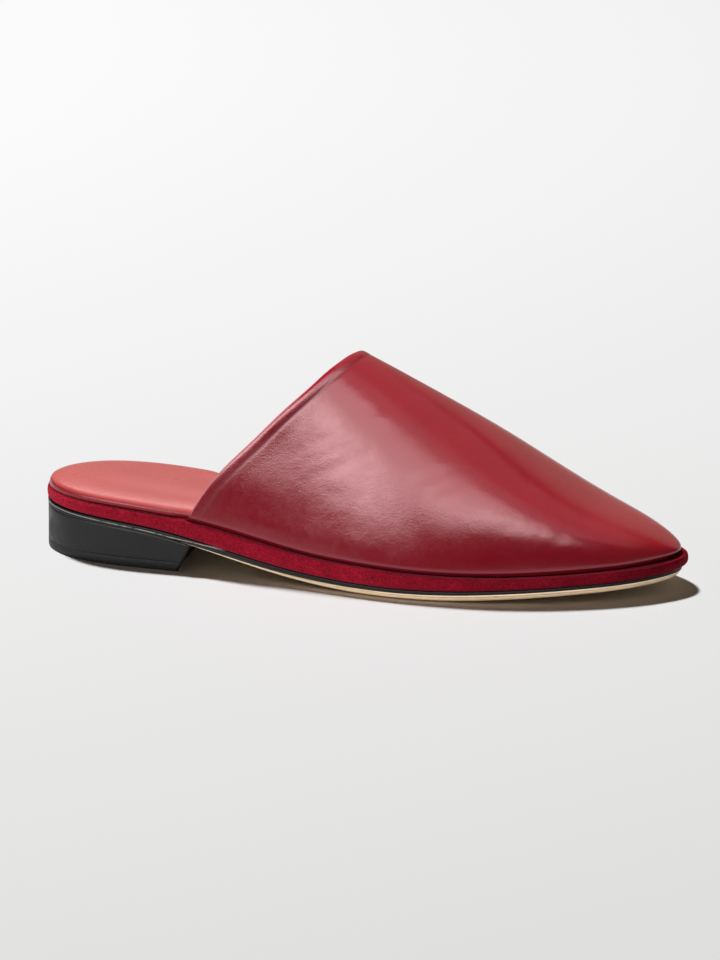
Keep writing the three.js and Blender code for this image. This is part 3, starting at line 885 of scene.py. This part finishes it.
# Painted shade in the groove: a darker red and more roughness, blended in by the mask kept at the points.
groove_shade = kept_value(tree, "groove_shade")
for socket, in_the_groove in (("Base Color", GROOVE_SHADE_RED), ("Roughness", GROOVE_ROUGH)):
    plain = shader.inputs[socket].links[0].from_socket
    tree.links.new(blend(tree, groove_shade, plain, in_the_groove), shader.inputs[socket])
# The lowest strip of the wall lies in the shade of the tuck and is dark.
FEATHER_LINE = 0.75
feather_shade, tree, shader, coords = surface(
    "feather_line", Roughness=0.8, Specular_IOR_Level=0.1, Base_Color=(0.05, 0.002, 0.006, 1.0))

# How much painted shade each point of the groove takes.
faint = 1 - GROOVE_FAINT * bell(degrees - GROOVE_FAINT_ANGLE, GROOVE_FAINT_SPREAD)
groove_shade_mask = np.zeros(phases.shape)
groove_shade_mask[: len(roll)] = bell(roll[:, :1] - GROOVE_PLACE, GROOVE_SPREAD) * np.minimum(1, fade + 0.3) * faint
ties = [(0, 0)] + [
    (len(roll) - 1 + INSIDE_EVERY * k, len(under) - 1 + k) for k in range(len(inside_phases) + 1)]
upper_points, upper_faces = shell(
    np.concatenate([outside, groove_shade_mask[..., None]], -1),
    np.concatenate([inside, np.zeros((*inside.shape[:2], 1))], -1), ties)
upper_points, groove_shade_values = upper_points[:, :3], upper_points[:, 3]
upper = build("upper_vamp", upper_points, upper_faces, upper_leather, feather_shade)
keep_at_points(upper, "groove_shade", groove_shade_values)
face_centres = np.array([np.mean(upper_points[list(face)], axis=0) for face in upper_faces])
centre_phases = phase_at(np.clip(face_centres[:, 0], 0, LENGTH))
in_shade = face_centres[:, 2] - rand_top(centre_phases) - GAP < FEATHER_LINE
upper.data.polygons.foreach_set("material_index", in_shade.astype(int).tolist())
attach(upper, "root")
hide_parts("upper")


# Lining: thin red leather, a little duller than the vamp and glued to the inside of it.
# It starts just inside the roll, where its cut edge shows, and runs down to the midsole.
LINING_BACK, LINING_FACE = 1.55, 1.85
LINING_RIM = [4.6, 5.6, 7.6, 10.5]
LINING_RED, LINING_LIGHT = (0.2, 0.02, 0.028), (0.26, 0.028, 0.036)
rim_phases = starts + rates * np.array(LINING_RIM)[:, None]
rim_skin = vamp_grid(rim_phases, 0.0)


def lining_grid(depth):
    """The vamp's form at a depth: square to the outside near the roll, and stepped in beyond."""
    rim = clear_of_midsole(rim_skin - normals(rim_skin) * depth, rim_phases)
    return np.concatenate([rim, vamp_grid(inside_phases, depth)])


back, face = lining_grid(LINING_BACK), lining_grid(LINING_FACE)
lining_leather = leather("lining_leather", LINING_RED, LINING_LIGHT, 0.55, 0.00008)
lining = build("upper_lining", *shell(back, face, [(k, k) for k in range(len(back))]), lining_leather)
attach(lining, "root")


# Floor, light and camera: a plain pale floor, a small key light overhead that throws the shadow, and soft
# boxes whose reflections shape the leather. Most light the shoe alone, and some light one piece of it.
# In front of the shoe the floor is darker in reflections than to the camera.
FLOOR_REACH = 10.0
FLOOR_PALE, FLOOR_DIM = (0.83,) * 3, (0.06,) * 3
floor_paint, tree, shader, coords = surface("pale_floor", Roughness=0.6, Specular_IOR_Level=0.2)
place = add(tree, "ShaderNodeSeparateXYZ")
tree.links.new(coords, place.inputs["Vector"])
rightwards = between(tree, place.outputs["X"], -0.25, 0.02)
nearby, beyond = between(tree, place.outputs["Y"], -0.02, -0.2), between(tree, place.outputs["Y"], -0.2, -0.3)
forwards = math_node(tree, "MAXIMUM", math_node(tree, "MULTIPLY", nearby, rightwards), beyond)
unseen = math_node(tree, "SUBTRACT", forwards, add(tree, "ShaderNodeLightPath").outputs["Is Camera Ray"])
tree.links.new(ramp(tree, unseen, (0.0, FLOOR_PALE), (1.0, FLOOR_DIM)), shader.inputs["Base Color"])
floor_corners = [(x * FLOOR_REACH, y * FLOOR_REACH, 0.0) for x, y in ((-1, -1), (1, -1), (1, 1), (-1, 1))]
floor_mesh = bpy.data.meshes.new("floor")
floor_mesh.from_pydata(floor_corners, [], [(0, 1, 2, 3)])
floor_mesh.materials.append(floor_paint)
floor = bpy.data.objects.new("floor", floor_mesh)
bpy.context.scene.collection.objects.link(floor)

AIM = Vector((0.0, 0.0, 0.036))


def lit(name, *pieces):
    """A collection of the pieces that a light reaches."""
    reached = bpy.data.collections.new(name)
    for piece in pieces:
        reached.objects.link(piece)
    return reached


lit_pieces = lit("lit_pieces", outsole, heel_block, top_lift, insole, upper, lining)
lit_upper, lit_midsole = lit("lit_upper", upper), lit("lit_midsole", midsole)
lit_insole, lit_outsole = lit("lit_insole", insole), lit("lit_outsole", outsole)


def softbox(name, place, width, height, watts, colour, tilt=0.0, lights=lit_pieces):
    """A soft light aimed at the shoe, which lights only the pieces given, or everything."""
    light = bpy.data.lights.new(name, "AREA")
    light.shape = "RECTANGLE"
    light.size, light.size_y = width, height
    light.energy = watts
    light.color = colour
    made = bpy.data.objects.new(name, light)
    made.location = place
    facing = (AIM - Vector(place)).to_track_quat("-Z", "Y")
    made.rotation_euler = (facing @ Quaternion((0, 0, 1), math.radians(tilt))).to_euler()
    made.light_linking.receiver_collection = lights
    bpy.context.scene.collection.objects.link(made)
    return made


SOFT_WHITE = (1.0, 0.97, 0.97)
key = softbox("key_softbox", (-1.5, 1.1, 3.8), 0.4, 0.4, 196.0, (0.985, 1.0, 1.01), lights=None)
key.visible_glossy = False
softbox("front_softbox", (-0.17, -1.54, 1.14), 3.0, 0.95, 25.5, SOFT_WHITE, tilt=17)
softbox("low_softbox", (-1.12, -1.42, 0.7), 1.4, 0.6, 11.0, SOFT_WHITE, tilt=10)
softbox("right_softbox", (0.3, -1.62, 0.94), 1.2, 0.42, 3.6, SOFT_WHITE, tilt=17)
softbox("top_softbox", (0.1, -1.0, 1.75), 2.6, 0.9, 2.5, (1.0, 0.97, 0.96), tilt=10)
softbox("over_softbox", (0.35, 0.25, 2.2), 4.0, 2.6, 13.0, (1.0, 0.97, 0.94))
softbox("back_softbox", (-0.2, 1.9, 0.76), 3.6, 1.5, 5.5, (1.0, 0.9, 0.78))
softbox("left_softbox", (-1.8, 0.05, 0.62), 2.9, 1.2, 24.0, (1.0, 0.93, 0.95), lights=lit_upper)
softbox("sock_softbox", (-0.55, 1.3, 1.35), 1.2, 0.6, 8.0, (1.0, 0.95, 0.95), lights=lit_insole)
softbox("suede_softbox", (-1.3, -1.2, 0.6), 1.2, 0.8, 44.0, SOFT_WHITE, lights=lit_midsole)
softbox("bounce_card", (0.25, -1.3, 0.12), 1.6, 0.24, 5.0, (1.0, 0.92, 0.8), lights=lit_outsole)

world = bpy.data.worlds.new("studio")
world.use_nodes = True
world.node_tree.nodes["Background"].inputs["Color"].default_value = (1.0, 0.82, 0.62, 1.0)
world.node_tree.nodes["Background"].inputs["Strength"].default_value = 0.07
bpy.context.scene.world = world
bpy.context.scene.view_settings.view_transform = "Standard"

AZIMUTH, ELEVATION = math.radians(17.07), math.radians(16.14)
DISTANCE, LENS = 2.0, 186.0
ROLL_TURN = Quaternion((0, 0, 1), math.radians(-0.22))
away = Vector((
    math.sin(AZIMUTH) * math.cos(ELEVATION), -math.cos(AZIMUTH) * math.cos(ELEVATION), math.sin(ELEVATION)))
camera = bpy.data.objects.new("camera", bpy.data.cameras.new("camera"))
camera.location = AIM + away * DISTANCE
camera.rotation_euler = ((-away).to_track_quat("-Z", "Y") @ ROLL_TURN).to_euler()
camera.data.lens = LENS
bpy.context.scene.collection.objects.link(camera)
bpy.context.scene.camera = camera
